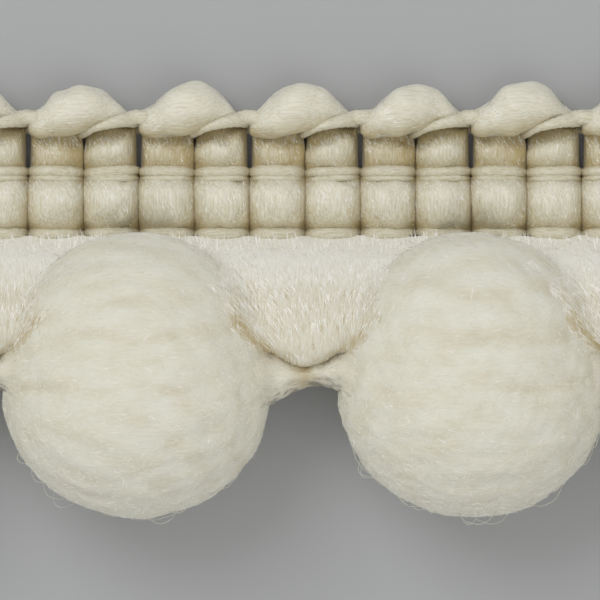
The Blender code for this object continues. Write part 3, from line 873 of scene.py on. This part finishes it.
for number in range(1, 5):
    rng = np.random.default_rng(80 + number)
    low, high = (np.array(corner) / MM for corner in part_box(f"pompom_{number}"))
    middle = np.array([(low[0] + high[0]) / 2, POMPOM_Y, POMPOM_Z])
    seed = 10 * number

    core = bpy.data.meshes.new("core_form")
    ball = bmesh.new()
    bmesh.ops.create_icosphere(ball, subdivisions=CORE_SUBDIVISIONS, radius=1.0)
    ball.to_mesh(core)
    ball.free()
    directions = np.array([vert.co for vert in core.vertices])
    faces = [list(face.vertices) for face in core.polygons]
    bpy.data.meshes.remove(core)
    points = middle + directions * pile_reach(directions, seed)[:, None]
    points[:, 2] = np.maximum(points[:, 2], FLOOR_CLEARANCE + 0.05)
    mottled = MOTTLING * soft_noise(directions * [0.5, 1, 1], 0.16, seed + 5)
    # The furrows get painted shade; the mottling is random tone.
    bodies = [(points, faces, mottled + FURROW_SHADE * furrows(directions, seed + 2))]

    # Most fibres lie combed sideways over the ball. The others stand off it and soften its outline.
    directions = unit(ball_directions(PILE_FIBRES) + 0.012 * rng.normal(size=(PILE_FIBRES, 3)))
    combed = unit(np.array([1.0, 0, 0]) - directions[:, :1] * directions)
    combed = combed * rng.choice([-1, 1], (PILE_FIBRES, 1))
    combed = unit(combed + PILE_SPREAD * rng.normal(size=directions.shape))
    length = rng.uniform(*PILE_LENGTH, (PILE_FIBRES, 1))
    ending = unit(directions + combed * length / 5)
    standing = rng.uniform(0, 1, PILE_FIBRES) < STANDING_SHARE
    ending = np.where(standing[:, None], unit(directions + combed * length / 9), ending)
    lift = rng.uniform(0, 1, PILE_FIBRES) * np.where(standing, STANDING_LIFT, PILE_LIFT)
    root = middle + directions * (pile_reach(directions, seed) - PILE_SUNK)[:, None]
    tip = middle + ending * (pile_reach(ending, seed) + lift)[:, None]
    tip[:, 2] = np.maximum(tip[:, 2], FLOOR_CLEARANCE)
    root[:, 2] = np.maximum(root[:, 2], FLOOR_CLEARANCE + 0.05)
    # The fibres take the painted shade of the furrows, and a random tone.
    tone_and_painted_light = rng.uniform(-0.45, 0.30, PILE_FIBRES) + FURROW_SHADE * furrows(directions, seed + 2)
    # Painted glints, more of them towards the rim.
    glinting = np.interp(directions[:, 2], (0.2, 0.8), GLINT_SHARE[::-1])
    tone_and_painted_light = np.where(rng.uniform(0, 1, PILE_FIBRES) < glinting, -0.9, tone_and_painted_light)
    facing = unit(directions + [0, 0.3, 0.8])
    fibres = [slivers(root, tip, PILE_WIDTH, facing, PILE_SOFTNESS, tone_and_painted_light, 900 + number)]

    # A few uncut fibres curl off the rim, three-sided like the others.
    for _ in range(STRAY_FIBRES):
        spin = rng.normal(-2.2, 1.0) + np.linspace(0, rng.uniform(0.12, 0.35), STRAY_STATIONS)
        height = np.full(STRAY_STATIONS, rng.uniform(-0.3, 0.4))
        rim = unit(np.stack([np.cos(spin), np.sin(spin), height], axis=1))
        off = rng.uniform(0.1, 0.45) * np.sin(np.linspace(0, math.pi, STRAY_STATIONS)) - FIBRE_SUNK
        path = middle + rim * (pile_reach(rim, seed) + off)[:, None]
        ahead = np.broadcast_to([0, 0, 1.0], rim.shape)
        corners = np.stack([rim, ahead, -rim - ahead], axis=1) * STRAY_WIDTH
        points, faces = closed_body(path[:, None] + corners)
        # The stray fibres are drawn a little paler, towards the painted-light colour.
        bodies.append((points, faces, -0.2))
    add_piece(f"pile_ball_{number}", bodies, fibres, pile_acrylic, "pompom_pile", f"pompom_{number}")

# Floor, light and camera. A pale matt table, a large soft light from above the scalloped edge and a
# weaker one from below right, and a long lens looking straight down at two of the pompoms.
FLOOR_COLOUR = "#B4B6B8"
FLOOR_SIZE = 1.2
FLOOR_ROUGHNESS = 0.9
FRAME_WIDTH = 0.0229
VIEW_MIDDLE = (-0.19, -4.58, 3.0)
CAMERA_HEIGHT = 0.36
LIGHTS = (
    # name, place in metres, size in metres, watts
    ("key", (-0.16, 0.20, 0.34), 0.24, 0.52),
    ("fill", (0.16, -0.24, 0.34), 0.40, 0.24),
)
WORLD_COLOUR = "#FFFEFB"
WORLD_STRENGTH = 0.57

floor_mesh = bpy.data.meshes.new("floor")
half_floor = FLOOR_SIZE / 2
floor_mesh.from_pydata([(-half_floor, -half_floor, 0), (half_floor, -half_floor, 0),
                        (half_floor, half_floor, 0), (-half_floor, half_floor, 0)], [], [(0, 1, 2, 3)])
floor = bpy.data.objects.new("floor", floor_mesh)
bpy.context.scene.collection.objects.link(floor)
matt_paint = bpy.data.materials.new("matt_paint")
matt_paint.use_nodes = True
paint_shader = matt_paint.node_tree.nodes["Principled BSDF"]
paint_shader.inputs["Base Color"].default_value = linear(FLOOR_COLOUR)
paint_shader.inputs["Roughness"].default_value = FLOOR_ROUGHNESS
floor_mesh.materials.append(matt_paint)

for name, place, size, watts in LIGHTS:
    light = bpy.data.lights.new(name, "AREA")
    light.size = size
    light.energy = watts
    lamp = bpy.data.objects.new(name, light)
    lamp.location = place
    aim = Vector((VIEW_MIDDLE[0] * MM, VIEW_MIDDLE[1] * MM, 0)) - lamp.location
    lamp.rotation_euler = aim.to_track_quat("-Z", "Y").to_euler()
    bpy.context.scene.collection.objects.link(lamp)

world = bpy.data.worlds.new("studio")
world.use_nodes = True
world.node_tree.nodes["Background"].inputs["Color"].default_value = linear(WORLD_COLOUR)
world.node_tree.nodes["Background"].inputs["Strength"].default_value = WORLD_STRENGTH
bpy.context.scene.world = world

camera_data = bpy.data.cameras.new("camera")
camera_data.lens = camera_data.sensor_width * (CAMERA_HEIGHT - VIEW_MIDDLE[2] * MM) / FRAME_WIDTH
camera = bpy.data.objects.new("camera", camera_data)
camera.location = (VIEW_MIDDLE[0] * MM, VIEW_MIDDLE[1] * MM, CAMERA_HEIGHT)
bpy.context.scene.collection.objects.link(camera)
bpy.context.scene.camera = camera
bpy.context.scene.view_settings.view_transform = "Standard"
